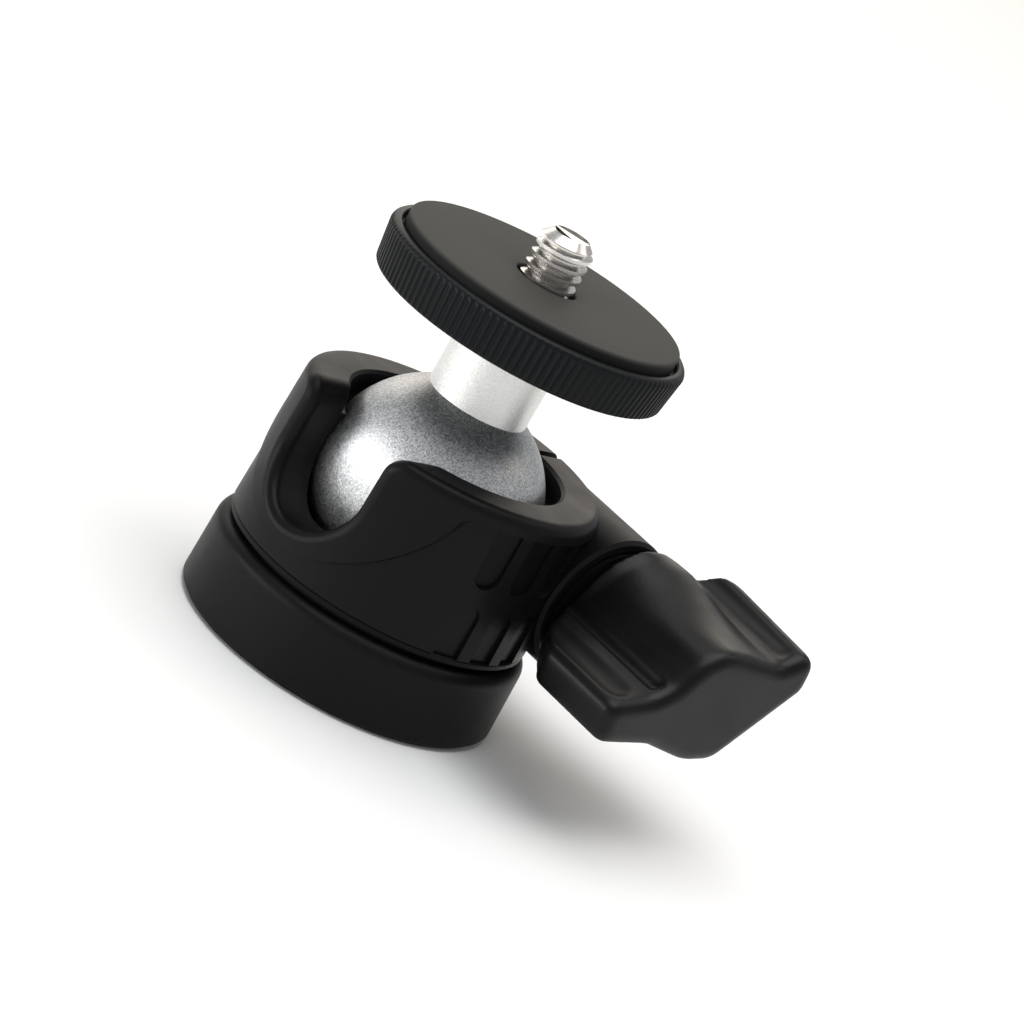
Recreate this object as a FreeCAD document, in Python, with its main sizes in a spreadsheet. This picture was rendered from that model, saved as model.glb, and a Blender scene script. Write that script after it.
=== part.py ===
import FreeCAD, Part
import math
import os
import Sketcher

# Small ball head for a tripod, in millimetres.
# Origin: centre of the underside. +Z runs up the barrel, -Y faces the drop notch, +X faces the knob.


class Size:
    """A length, angle or count that knows its spreadsheet expression and its present value."""

    def __init__(self, text, number):
        self.text = text
        self.number = number

    def joined(self, sign, other, number):
        return Size("(" + self.text + " " + sign + " " + text_of(other) + ")", number)

    def __add__(self, other):
        return self.joined("+", other, self.number + number_of(other))

    def __sub__(self, other):
        return self.joined("-", other, self.number - number_of(other))

    def __mul__(self, other):
        return self.joined("*", other, self.number * number_of(other))

    def __truediv__(self, other):
        return self.joined("/", other, self.number / number_of(other))

    def __neg__(self):
        return Size("(0 - " + self.text + ")", -self.number)


def number_of(value):
    return value.number if isinstance(value, Size) else value


def text_of(value):
    return value.text if isinstance(value, Size) else str(value)


def root(value):
    return Size("sqrt(" + value.text + ")", math.sqrt(value.number))


def leg(hypotenuse, side):
    """Other leg of a right triangle."""
    return root(hypotenuse * hypotenuse - side * side)


def cosine(angle):
    return Size("cos(" + angle.text + " * 1 deg)", math.cos(math.radians(angle.number)))


def sine(angle):
    return Size("sin(" + angle.text + " * 1 deg)", math.sin(math.radians(angle.number)))


SIZES = {
    # Ball, and the walls that stand round it
    "ball_radius": 12.85,
    "socket_clearance": 0.15,
    "housing_wall": 5.15,
    "running_clearance": 0.05,
    # Rocking seat under the ball and the bowl around it
    "seat_thickness": 1.0,
    "seat_clearance": 0.1,
    "seat_angle": 35.0,
    "seat_hole_radius": 2.5,
    "seat_sweep_angle": 62.0,
    "bowl_floor": 1.8,
    # Base ring: a plain moulded cup with a rounded lip
    "base_height": 9.2,
    "base_taper": 0.2,
    "base_lip_round": 1.5,
    "base_wall": 1.75,
    "base_floor": 3.0,
    "base_foot_chamfer": 0.5,
    # Housing foot: a spigot inside the ring and the band above it
    "foot_gap": 0.7,
    "foot_band_height": 0.65,
    "foot_band_relief": 0.05,
    "foot_seam_chamfer": 0.16,
    "foot_band_ledge": 0.85,
    "foot_ring_clearance": 0.2,
    "foot_sleeve_clearance": 0.1,
    # Threaded insert for a quarter-inch tripod screw
    "insert_bore_radius": 2.6,
    "insert_wall": 2.3,
    "insert_length": 5.2,
    "insert_groove": 0.4,
    # Countersunk screws that hold the base together
    "base_screw_count": 3,
    "base_screw_wall_share": 0.466,
    "base_screw_radius": 1.15,
    "base_screw_head_flare": 1.15,
    "base_screw_length": 13.6,
    "base_screw_recess": 0.35,
    # Stem
    "stem_radius": 5.9,
    "stem_length": 8.95,
    "stem_shoulder": 2.0,
    "stem_tail_length": 8.0,
    "stem_spigot_wall": 1.1,
    # Lip that keeps the ball in, and the mouth above it
    "socket_lip_height": 4.2,
    "mouth_relief": 0.05,
    "mouth_chamfer": 0.35,
    # Housing rim and flank
    "rim_rise": 7.0,
    "rim_band_height": 2.05,
    "rim_lip_round": 1.25,
    "flank_taper": 0.55,
    # Raised collar round the notch
    "collar_step": 0.4,
    "collar_width": 2.3,
    "collar_centre_drop": 0.8,
    "collar_blend_radius": 1.2,
    # Notch that lets the stem drop to the horizontal
    "notch_clearance": 0.4,
    "notch_corner_radius": 2.6,
    # Flutes on both flanks
    "flute_count": 3,
    "flute_pitch_angle": 15.75,
    "flute_width": 3.2,
    "flute_depth": 0.5,
    "flute_upper_drop": 2.0,
    "flute_lower_drop": 4.1,
    # Clamp lugs, split and the screw that draws them together
    "slot_width": 1.2,
    "slot_bridge": 1.05,
    "clamp_wall": 0.4,
    "clamp_drop": 2.4,
    "lug_radius": 8.9,
    "lug_length": 10.4,
    "lug_round": 1.6,
    "lug_foot_clearance": 0.3,
    "hood_seat": 12.0,
    "hood_depth": 5.0,
    "hood_wall": 1.2,
    "hood_lip_chamfer": 0.4,
    "clamp_screw_radius": 2.0,
    "clamp_screw_clearance": 0.2,
    "clamp_head_width": 7.0,
    "clamp_head_thickness": 2.8,
    "clamp_nut_width": 7.0,
    "clamp_nut_thickness": 3.2,
    "clamp_nut_sink": 0.3,
    "clamp_nut_clearance": 0.1,
    "washer_rim": 2.5,
    "washer_thickness": 0.8,
    "spring_washer_rim": 1.7,
    "spring_washer_thickness": 0.9,
    "retainer_rim": 3.4,
    "retainer_thickness": 0.8,
    # Knob
    "knob_neck_clearance": 0.3,
    "knob_hood_gap": 0.6,
    "knob_hub_radius": 8.9,
    "knob_hub_round": 0.4,
    "knob_hub_shoulder": 1.2,
    "knob_hub_face": 1.9,
    "knob_crown_radius": 6.6,
    "knob_crown_sink": 0.15,
    "knob_groove_floor": 0.95,
    "knob_crown_root_share": 0.3,
    "knob_crown_edge_round": 1.5,
    "knob_length": 17.8,
    "wing_start_rise": 1.5,
    "wing_end_rise": 7.5,
    "wing_chamfer_length": 7.6,
    # Corners of the knob's section: reach from the axis, lift above it, and rounding
    "near_tip_upper_reach": -14.9,
    "near_tip_upper_lift": -1.35,
    "near_tip_upper_round": 1.4,
    "near_hollow_reach": -8.0,
    "near_hollow_lift": 0.15,
    "near_hollow_round": 6.0,
    "near_rise_reach": -4.0,
    "near_rise_lift": 2.8,
    "near_rise_round": 5.0,
    "crown_reach": -1.35,
    "crown_lift": 6.8,
    "crown_round": 3.0,
    "far_valley_reach": 9.2,
    "far_valley_lift": 5.75,
    "far_valley_round": 4.0,
    "far_tip_upper_reach": 13.6,
    "far_tip_upper_lift": 7.6,
    "far_tip_upper_round": 2.0,
    "far_tip_lower_reach": 15.0,
    "far_tip_lower_lift": 3.3,
    "far_tip_lower_round": 1.4,
    "far_shoulder_reach": 6.4,
    "far_shoulder_lift": -6.75,
    "far_shoulder_round": 3.2,
    "keel_reach": 2.2,
    "keel_lift": -7.25,
    "keel_round": 8.0,
    "near_valley_reach": -5.2,
    "near_valley_lift": -5.7,
    "near_valley_round": 6.0,
    "near_tip_lower_reach": -13.9,
    "near_tip_lower_lift": -6.15,
    "near_tip_lower_round": 2.0,
    "wing_end_round": 1.0,
    # Grip grooves along the knob
    "grip_narrow_radius": 1.5,
    "grip_narrow_depth": 0.6,
    "grip_broad_radius": 4.0,
    "grip_broad_depth": 0.45,
    "grip_groove_margin": 1.6,
    "grip_near_broad_share": 0.48,
    "grip_near_narrow_share": 0.35,
    "grip_far_top_share": 0.16,
    "grip_far_upper_share": 0.3,
    "grip_far_lower_share": 0.62,
    "grip_near_under_share": 0.45,
    # Camera platform
    "platform_radius": 17.85,
    "platform_taper": 0.5,
    "platform_rim_width": 1.15,
    "platform_rim_round": 0.8,
    "platform_foot_round": 0.5,
    "platform_web": 1.65,
    "nut_headroom": 0.15,
    "nut_pocket_clearance": 0.5,
    # Rubber pad and the film that holds it
    "pad_gap": 0.35,
    "pad_sink": 0.9,
    "pad_thickness": 1.95,
    "pad_hole_gap": 0.825,
    "pad_edge_round": 0.25,
    "film_thickness": 0.15,
    "film_margin": 0.3,
    # Camera screw, quarter inch, and the nut that holds the platform down
    "camera_screw_radius": 3.175,
    "camera_screw_stand": 5.7,
    "camera_screw_depth": 8.5,
    "camera_screw_chamfer": 0.8,
    "camera_screw_relief_depth": 0.6,
    "camera_screw_relief_length": 0.7,
    "camera_bore_gap": 0.3,
    "lock_nut_width": 11.1,
    "lock_nut_thickness": 2.0,
    "lock_washer_rim": 3.0,
    "lock_washer_thickness": 0.5,
    # How far a cutting shape runs past the surface it opens
    "overrun": 2.0,
}

doc = FreeCAD.newDocument("ball_head")
sheet = doc.addObject("Spreadsheet::Sheet", "Sizes")
size = {}
for row, (alias, number) in enumerate(SIZES.items(), start=1):
    sheet.set("A" + str(row), alias)
    sheet.set("B" + str(row), str(number))
    sheet.setAlias("B" + str(row), alias)
    size[alias] = Size("Sizes." + alias, number)
doc.recompute()

# Radii, heights and places that several pieces share
zero = Size("0", 0)
ball_radius = size["ball_radius"]
socket_radius = ball_radius + size["socket_clearance"]
seat_inner = ball_radius + size["running_clearance"]
seat_outer = seat_inner + size["seat_thickness"]
bowl_radius = seat_outer + size["seat_clearance"]
ball_centre = size["insert_length"] + size["bowl_floor"] + bowl_radius
foot_base = size["base_floor"]
band_foot = size["base_height"] + size["foot_gap"]
foot_top = band_foot + size["foot_band_height"]
rim_top = ball_centre + size["rim_rise"]
rim_foot = rim_top - size["rim_band_height"]
flank_foot_radius = socket_radius + size["housing_wall"]
band_radius = flank_foot_radius - size["foot_band_relief"]
base_lip_radius = band_radius + size["foot_band_ledge"]
base_radius = base_lip_radius + size["base_taper"]
insert_radius = size["insert_bore_radius"] + size["insert_wall"]
base_screw_circle = socket_radius + size["housing_wall"] * size["base_screw_wall_share"]
notch_half = size["stem_radius"] + size["notch_clearance"]
stem_foot = ball_centre + leg(ball_radius, size["stem_radius"])
stem_top = stem_foot + size["stem_length"]
stem_tail_floor = stem_foot - size["stem_tail_length"]
stem_tail_radius = size["stem_radius"] - size["stem_shoulder"]
stem_bore_radius = size["camera_screw_radius"] + size["running_clearance"]
spigot_radius = stem_bore_radius + size["stem_spigot_wall"]
platform_base = stem_top + size["running_clearance"]
nut_floor = platform_base + size["platform_web"]
nut_base = nut_floor + size["lock_washer_thickness"]
nut_top = nut_base + size["lock_nut_thickness"]
pad_seat = nut_top + size["nut_headroom"]
pad_base = pad_seat + size["film_thickness"]
pad_top = pad_base + size["pad_thickness"]
platform_top = pad_seat + size["pad_sink"]
pad_recess_radius = size["platform_radius"] - size["platform_rim_width"]
pad_radius = pad_recess_radius - size["pad_gap"]
nut_pocket_radius = size["lock_nut_width"] / Size("sqrt(3)", math.sqrt(3)) + size["nut_pocket_clearance"]
screw_foot = stem_top - size["camera_screw_depth"]
screw_tip = pad_top + size["camera_screw_stand"]
clamp_hole_radius = size["clamp_screw_radius"] + size["clamp_screw_clearance"]
clamp_y = socket_radius + size["clamp_wall"] + clamp_hole_radius
clamp_z = ball_centre - size["clamp_drop"]
hood_lip = size["hood_seat"] + size["hood_depth"]
hood_bore_radius = size["lug_radius"] - size["hood_wall"]
hub_start = hood_lip + size["knob_hood_gap"]
knob_end = hub_start + size["knob_length"]
washer_start = size["hood_seat"] + size["running_clearance"]
spring_start = washer_start + size["washer_thickness"]
neck_start = spring_start + size["spring_washer_thickness"] + size["running_clearance"]
head_start = neck_start + size["retainer_thickness"]
nut_start = size["lug_length"] - size["clamp_nut_sink"] - size["clamp_nut_thickness"]
clamp_shank_length = head_start + nut_start + size["clamp_nut_thickness"]


def flank_radius_at(height):
    share = (height - foot_top) / (rim_foot - foot_top)
    return flank_foot_radius - size["flank_taper"] * share


def collar_radius_at(height):
    return flank_radius_at(height) + size["collar_step"]


# Document helpers


def bind(target, name, value):
    target.setExpression(name, text_of(value))


def new_body(name, base=None):
    body = doc.addObject("PartDesign::Body", name)
    body.Label = name
    if base is not None:
        body.BaseFeature = base
    return body


def origin_item(body, role):
    for feature in body.Origin.OriginFeatures:
        if feature.Role == role:
            return feature
    raise ValueError(role)


def new_sketch(body, name, role, height=None):
    sketch = body.newObject("Sketcher::SketchObject", name)
    sketch.AttachmentSupport = (origin_item(body, role), "")
    sketch.MapMode = "FlatFace"
    if height is not None:
        bind(sketch, "AttachmentOffset.Base.z", height)
    return sketch


def place_point(sketch, edge, end, spot):
    """Pins one end of an edge to a spot whose two coordinates follow the sheet."""
    for kind, value in (("DistanceX", spot[0]), ("DistanceY", spot[1])):
        index = sketch.addConstraint(
            Sketcher.Constraint(kind, -1, 1, edge, end, number_of(value)))
        bind(sketch, "Constraints[" + str(index) + "]", value)


def bulged_arc(start, end, radius, side):
    """Minor arc from start to end whose middle lies to the right (1) or left (-1) of the run."""
    chord = end - start
    middle = (start + end) * 0.5
    across = FreeCAD.Vector(chord.y, -chord.x, 0)
    across.normalize()
    half = chord.Length / 2
    reach = math.sqrt(max(radius * radius - half * half, 0))
    return Part.Arc(start, middle + across * (side * (radius - reach)), end)


def end_on(sketch, edge, spot):
    """Which end of the edge, 1 or 2, lies on the spot."""
    first = sketch.getPoint(edge, 1)
    second = sketch.getPoint(edge, 2)
    return 1 if first.distanceToPoint(spot) < second.distanceToPoint(spot) else 2


def closed_outline(sketch, spots, arcs=None):
    """Closed outline through the spots. arcs maps an edge's number to (radius, bulge side)."""
    arcs = arcs or {}
    count = len(spots)
    flat = [FreeCAD.Vector(number_of(x), number_of(y), 0) for x, y in spots]
    edges = []
    for number in range(count):
        start = flat[number]
        end = flat[(number + 1) % count]
        if number in arcs:
            radius, side = arcs[number]
            edges.append(sketch.addGeometry(bulged_arc(start, end, number_of(radius), side)))
        else:
            edges.append(sketch.addGeometry(Part.LineSegment(start, end)))
    firsts = [end_on(sketch, edges[number], flat[number]) for number in range(count)]
    for number in range(count):
        following = (number + 1) % count
        sketch.addConstraint(Sketcher.Constraint(
            "Coincident", edges[number], 3 - firsts[number],
            edges[following], firsts[following]))
    for number, spot in enumerate(spots):
        place_point(sketch, edges[number], firsts[number], spot)
    for number, (radius, side) in arcs.items():
        index = sketch.addConstraint(
            Sketcher.Constraint("Radius", edges[number], number_of(radius)))
        bind(sketch, "Constraints[" + str(index) + "]", radius)
    return sketch


def circle_outline(sketch, x, y, radius):
    spot = FreeCAD.Vector(number_of(x), number_of(y), 0)
    circle = sketch.addGeometry(Part.Circle(spot, FreeCAD.Vector(0, 0, 1), number_of(radius)))
    index = sketch.addConstraint(Sketcher.Constraint("Radius", circle, number_of(radius)))
    bind(sketch, "Constraints[" + str(index) + "]", radius)
    place_point(sketch, circle, 3, (x, y))
    return sketch


def hexagon_spots(width, x, y):
    """Corners of a hexagon with flats facing the sketch's left and right."""
    half = width / 2
    corner = width / Size("sqrt(3)", math.sqrt(3))
    return [(x + half, y + corner / 2), (x, y + corner), (x - half, y + corner / 2),
            (x - half, y - corner / 2), (x, y - corner), (x + half, y - corner / 2)]


def revolve(body, sketch, name, kind="PartDesign::Revolution", axis="V_Axis"):
    feature = body.newObject(kind, name)
    feature.Profile = sketch
    feature.ReferenceAxis = (sketch, [axis])
    feature.Angle = 360
    return feature


def pad(body, sketch, name, length, midplane=False):
    feature = body.newObject("PartDesign::Pad", name)
    feature.Profile = sketch
    feature.Midplane = midplane
    bind(feature, "Length", length)
    return feature


def pocket(body, sketch, name, length, reverse=False, midplane=False):
    feature = body.newObject("PartDesign::Pocket", name)
    feature.Profile = sketch
    feature.Reversed = reverse
    feature.Midplane = midplane
    bind(feature, "Length", length)
    return feature


def turned(name, spots, arcs=None):
    """Body of revolution about its own Z axis from an outline of (radius, height) spots."""
    body = new_body(name)
    sketch = closed_outline(new_sketch(body, name + "_profile", "XZ_Plane"), spots, arcs)
    revolve(body, sketch, name + "_turned")
    return body


def polar(body, features, name, count, angle=None):
    pattern = body.newObject("PartDesign::PolarPattern", name)
    pattern.Originals = features
    pattern.Axis = (origin_item(body, "Z_Axis"), [""])
    if angle is not None:
        bind(pattern, "Angle", angle)
    bind(pattern, "Occurrences", count)
    body.Tip = pattern
    return pattern


def round_edges(body, name, radius, chosen):
    """Fillet on those edges of the body's tip that the test picks."""
    doc.recompute()
    tip = body.Tip
    names = ["Edge" + str(number + 1) for number, edge in enumerate(tip.Shape.Edges)
             if chosen(edge)]
    fillet = body.newObject("PartDesign::Fillet", name)
    fillet.Base = (tip, names)
    bind(fillet, "Radius", radius)
    return fillet


def lay_along_x(item, start=None):
    """Turns an item so that its own Z runs along +X on the clamp screw's axis."""
    item.Placement = FreeCAD.Placement(
        FreeCAD.Vector(0, 0, 0), FreeCAD.Rotation(FreeCAD.Vector(1, 1, 1), 120))
    bind(item, "Placement.Base.y", clamp_y)
    bind(item, "Placement.Base.z", clamp_z)
    if start is not None:
        bind(item, "Placement.Base.x", start)
    return item


def combine(kind, name, items):
    """Boolean of document objects: Cut, MultiFuse or MultiCommon."""
    result = doc.addObject("Part::" + kind, name)
    if kind == "Cut":
        result.Base = items[0]
        result.Tool = items[1]
    else:
        result.Shapes = items
    result.Label = name
    return result


# Base


def make_base_ring():
    """Cup with a rounded lip, a hole for the insert and countersunk screw holes."""
    inner = base_lip_radius - size["base_wall"]
    lip_foot = size["base_height"] - size["base_lip_round"]
    spots = [
        (insert_radius, zero),
        (base_radius - size["base_foot_chamfer"], zero),
        (base_radius, size["base_foot_chamfer"]),
        (base_lip_radius, lip_foot),
        (base_lip_radius - size["base_lip_round"], size["base_height"]),
        (inner, size["base_height"]),
        (inner, size["base_floor"]),
        (insert_radius, size["base_floor"]),
    ]
    body = turned("base_ring", spots, {3: (size["base_lip_round"], 1)})
    sketch = screw_section(body, "screw_hole", -size["overrun"])
    hole = revolve(body, sketch, "screw_hole_cut", "PartDesign::Groove", "Axis0")
    polar(body, [hole], "screw_holes", size["base_screw_count"])
    return body


def screw_section(body, name, foot):
    """Half section of a countersunk screw beside the body's axis, with its own centre line."""
    sketch = new_sketch(body, name, "XZ_Plane")
    centre = base_screw_circle
    shank = size["base_screw_radius"]
    head = shank + size["base_screw_head_flare"]
    recess = size["base_screw_recess"]
    top = recess + size["base_screw_length"]
    spots = [(centre, foot), (centre + head, foot), (centre + head, recess),
             (centre + shank, recess + head - shank), (centre + shank, top), (centre, top)]
    if foot is recess:
        spots.pop(1)
        spots[0] = (centre, recess)
    closed_outline(sketch, spots)
    low = FreeCAD.Vector(number_of(centre), number_of(zero), 0)
    high = FreeCAD.Vector(number_of(centre), number_of(top), 0)
    line = sketch.addGeometry(Part.LineSegment(low, high), True)
    place_point(sketch, line, 1, (centre, zero))
    place_point(sketch, line, 2, (centre, top))
    return sketch


def make_base_screws():
    """Three countersunk self-tapping screws as one group of separate solids."""
    body = new_body("base_screws")
    sketch = screw_section(body, "screw_half", size["base_screw_recess"])
    screw = revolve(body, sketch, "screw_turned", axis="Axis0")
    polar(body, [screw], "screw_circle", size["base_screw_count"])
    return body


def make_threaded_insert():
    """Brass insert: bore at the thread's inner radius and a groove round its waist."""
    high = size["insert_length"]
    middle = high / 2
    groove = size["insert_groove"]
    outer = insert_radius
    spots = [
        (size["insert_bore_radius"], zero),
        (outer, zero),
        (outer, middle - groove),
        (outer - groove, middle - groove),
        (outer - groove, middle + groove),
        (outer, middle + groove),
        (outer, high),
        (size["insert_bore_radius"], high),
    ]
    return turned("threaded_insert", spots)


def screw_pilots(name):
    """Cutting shape for the pilot holes of the base screws."""
    body = new_body(name)
    sketch = new_sketch(body, name + "_circle", "XY_Plane")
    circle_outline(sketch, base_screw_circle, zero, size["base_screw_radius"])
    length = size["base_screw_recess"] + size["base_screw_length"]
    pilot = pad(body, sketch, name + "_pad", length)
    polar(body, [pilot], name + "_circle_pattern", size["base_screw_count"])
    return body


def make_housing_foot():
    """Moulding that closes the housing: spigot, band, and the bowl the seat rocks in."""
    spigot = base_lip_radius - size["base_wall"] - size["foot_ring_clearance"]
    sleeve = socket_radius - size["foot_sleeve_clearance"]
    insert_top = size["insert_length"]
    sweep = size["seat_sweep_angle"]
    bowl_edge = (bowl_radius * sine(sweep), ball_centre - bowl_radius * cosine(sweep))
    spots = [
        (insert_radius, foot_base),
        (spigot, foot_base),
        (spigot, band_foot),
        (band_radius, band_foot),
        (band_radius, foot_top - size["foot_seam_chamfer"]),
        (band_radius - size["foot_seam_chamfer"], foot_top),
        (sleeve, foot_top),
        (sleeve, bowl_edge[1]),
        bowl_edge,
        (zero, ball_centre - bowl_radius),
        (zero, insert_top),
        (insert_radius, insert_top),
    ]
    blank = turned("foot_blank", spots, {8: (bowl_radius, -1)})
    return combine("Cut", "housing_foot", [blank, screw_pilots("foot_pilots")])


# Housing: the moulding with the rim, the drop notch, the flutes and the clamp lugs


def make_flank():
    """Outer form of revolution: tapered flank under a slightly proud rim."""
    spots = [
        (zero, foot_top),
        (flank_foot_radius, foot_top),
        (flank_radius_at(rim_foot), rim_foot),
        (collar_radius_at(rim_foot), rim_foot),
        (collar_radius_at(rim_top), rim_top),
        (zero, rim_top),
    ]
    return turned("flank", spots)


def make_collar():
    """Raised collar that sweeps down round the notch and blends into the rim's lower edge."""
    spots = [
        (zero, foot_top),
        (collar_radius_at(foot_top), foot_top),
        (collar_radius_at(rim_foot), rim_foot),
        (zero, rim_foot),
    ]
    proud = turned("collar_round", spots)
    mask = new_body("collar_mask")
    centre = rim_top - size["collar_centre_drop"]
    drop = centre - ball_centre + notch_half + size["collar_width"]
    blend = size["collar_blend_radius"]
    rise = centre - rim_foot + blend
    reach = leg(drop + blend, rise)
    touch = drop / (drop + blend)
    touch_spot = (reach * touch, centre - rise * touch)
    spots = [
        (zero, centre - drop),
        touch_spot,
        (reach, rim_foot),
        (-reach, rim_foot),
        (-touch_spot[0], touch_spot[1]),
    ]
    arcs = {0: (drop, 1), 1: (blend, -1), 3: (blend, -1), 4: (drop, 1)}
    sketch = closed_outline(new_sketch(mask, "collar_outline", "XZ_Plane"), spots, arcs)
    pad(mask, sketch, "collar_mask_pad", base_radius + size["overrun"])
    return combine("MultiCommon", "collar", [proud, mask])


def make_lugs():
    """Both clamp lugs as one turned form on the clamp axis, cleared above the foot's band."""
    far = -size["lug_length"]
    reach = hood_lip
    edge = size["lug_round"]
    lip = size["hood_lip_chamfer"]
    spots = [
        (zero, far),
        (size["lug_radius"] - edge, far),
        (size["lug_radius"], far + edge),
        (size["lug_radius"], reach - lip),
        (size["lug_radius"] - lip, reach),
        (zero, reach),
    ]
    lugs = lay_along_x(turned("lug_barrel", spots, {1: (edge, 1)}))
    trim = doc.addObject("Part::Cylinder", "lug_trim")
    bind(trim, "Radius", band_radius + size["lug_foot_clearance"])
    bind(trim, "Height", foot_top)
    return combine("Cut", "lugs", [lugs, trim])


def make_barrel():
    """Flank and collar joined, notched, and rounded along one closed line of rim and notch."""
    joined = combine("MultiFuse", "barrel_joined", [make_flank(), make_collar()])
    joined.Refine = True
    barrel = new_body("barrel", joined)
    doc.recompute()
    cut_notch(barrel)
    return barrel


def make_housing():
    blank = combine("MultiFuse", "housing_blank", [make_barrel(), make_lugs()])
    pilots = screw_pilots("housing_pilots")
    body = new_body("housing", combine("Cut", "housing_drilled", [blank, pilots]))
    doc.recompute()
    cut_socket(body)
    cut_flutes(body)
    cut_clamp(body)
    return body


def cut_socket(body):
    """Bore the ball enters from below, the lip that keeps it in, and the chamfered mouth."""
    lip = ball_centre + size["socket_lip_height"]
    mouth = socket_radius - size["mouth_relief"]
    chamfer = size["mouth_chamfer"]
    top = rim_top
    above = top + size["overrun"]
    below = foot_top - size["overrun"]
    spots = [
        (zero, below),
        (socket_radius, below),
        (socket_radius, ball_centre),
        (leg(socket_radius, size["socket_lip_height"]), lip),
        (mouth, lip),
        (mouth, top - chamfer),
        (mouth + chamfer, top),
        (mouth + chamfer, above),
        (zero, above),
    ]
    sketch = closed_outline(
        new_sketch(body, "socket_profile", "XZ_Plane"), spots, {2: (socket_radius, 1)})
    revolve(body, sketch, "socket", "PartDesign::Groove")


def cut_notch(body):
    """Drop notch: round floor on the ball's centre, straight sides, flared top corners."""
    corner = size["notch_corner_radius"]
    flare = notch_half + corner
    top = rim_top
    above = top + size["overrun"]
    spots = [
        (zero, ball_centre - notch_half),
        (notch_half, ball_centre),
        (notch_half, top - corner),
        (flare, top),
        (flare, above),
        (-flare, above),
        (-flare, top),
        (-notch_half, top - corner),
        (-notch_half, ball_centre),
    ]
    arcs = {0: (notch_half, 1), 2: (corner, -1), 6: (corner, -1), 8: (notch_half, 1)}
    sketch = closed_outline(new_sketch(body, "notch_outline", "XZ_Plane"), spots, arcs)
    reach = base_radius + size["overrun"]
    pocket(body, sketch, "notch", reach, reverse=True)
    round_edges(body, "rim_and_notch_round", size["rim_lip_round"], on_rim_line)


def on_rim_line(edge):
    """True for an edge of the rim's top or of the notch where either meets the outside."""
    tolerance = number_of(size["running_clearance"])
    foot = number_of(collar_radius_at(foot_top)) + tolerance
    inner = number_of(flank_radius_at(rim_foot)) - tolerance
    middle = edge.valueAt((edge.FirstParameter + edge.LastParameter) / 2)
    if not inner < math.hypot(middle.x, middle.y) < foot or edge.Length < tolerance:
        return False
    half = number_of(notch_half)
    corner = number_of(size["notch_corner_radius"])
    centre = number_of(ball_centre)
    top = number_of(rim_top)
    if abs(middle.z - top) < tolerance:
        return True
    if middle.y > 0:
        return False
    if middle.z < centre:
        return abs(math.hypot(middle.x, middle.z - centre) - half) < tolerance
    if middle.z < top - corner:
        return abs(abs(middle.x) - half) < tolerance
    flare = math.hypot(abs(middle.x) - half - corner, middle.z - top + corner)
    return abs(flare - corner) < tolerance


def flute_sketch(body, name, bearing, floor, spots, arcs):
    """Flute outline on an upright plane that stands off the axis at the given bearing."""
    sketch = new_sketch(body, name, "YZ_Plane")
    sketch.AttachmentOffset = FreeCAD.Placement(
        FreeCAD.Vector(0, 0, 0), FreeCAD.Rotation(FreeCAD.Vector(0, 1, 0), bearing.number))
    bind(sketch, "AttachmentOffset.Rotation.Angle", bearing)
    bind(sketch, "AttachmentOffset.Base.x", floor * sine(bearing))
    bind(sketch, "AttachmentOffset.Base.z", floor * cosine(bearing))
    return closed_outline(sketch, spots, arcs)




def cut_flutes(body):
    """Two rows of shallow grooves on each side, rounded where they face the plain waist."""
    half = size["flute_width"] / 2
    upper = ball_centre - size["flute_upper_drop"]
    lower = ball_centre - size["flute_lower_drop"]
    below = foot_top - size["overrun"]
    upper_spots = [(zero, upper), (half, upper + half), (half, rim_foot),
                   (-half, rim_foot), (-half, upper + half)]
    lower_spots = [(zero, lower), (-half, lower - half), (-half, below),
                   (half, below), (half, lower - half)]
    ends = {0: (half, 1), 4: (half, 1)}
    upper_floor = flank_radius_at((upper + rim_foot) / 2) - size["flute_depth"]
    lower_floor = flank_radius_at((foot_top + lower) / 2) - size["flute_depth"]
    length = size["flute_depth"] + size["overrun"]
    span = size["flute_pitch_angle"] * (size["flute_count"] - 1)
    for side, turn in (("near", zero), ("far", Size("180", 180))):
        bearing = turn - span / 2
        cuts = []
        for row, floor, spots in (("upper", upper_floor, upper_spots),
                                  ("lower", lower_floor, lower_spots)):
            name = "flute_" + side + "_" + row
            sketch = flute_sketch(body, name + "_outline", bearing, floor, spots, ends)
            cuts.append(pocket(body, sketch, name, length, reverse=True))
        polar(body, cuts, "flutes_" + side, size["flute_count"], span)


def cut_clamp(body):
    """Split through the lugs, screw hole, nut pocket and the bore of the hood."""
    far_y = clamp_y + size["lug_radius"] + size["overrun"]
    top = rim_top + size["overrun"]
    floor = foot_top + size["slot_bridge"]
    near_y = ball_radius / 2
    slot = closed_outline(new_sketch(body, "split_outline", "YZ_Plane"), [
        (near_y, floor), (far_y, floor), (far_y, top), (near_y, top)])
    pocket(body, slot, "split", size["slot_width"], midplane=True)
    hole = new_sketch(body, "clamp_hole_circle", "YZ_Plane")
    circle_outline(hole, clamp_y, clamp_z, clamp_hole_radius)
    pocket(body, hole, "clamp_hole", size["hood_seat"] * 2, midplane=True)
    hood = new_sketch(body, "hood_bore_circle", "YZ_Plane", size["hood_seat"])
    circle_outline(hood, clamp_y, clamp_z, hood_bore_radius)
    pocket(body, hood, "hood_bore", hood_lip, reverse=True)
    nut = new_sketch(body, "nut_pocket_outline", "YZ_Plane", -nut_start)
    width = size["clamp_nut_width"] + size["clamp_nut_clearance"] * 2
    closed_outline(nut, hexagon_spots(width, clamp_y, clamp_z))
    pocket(body, nut, "nut_pocket", size["lug_length"])


# Ball, stem and the seat they rest on


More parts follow.
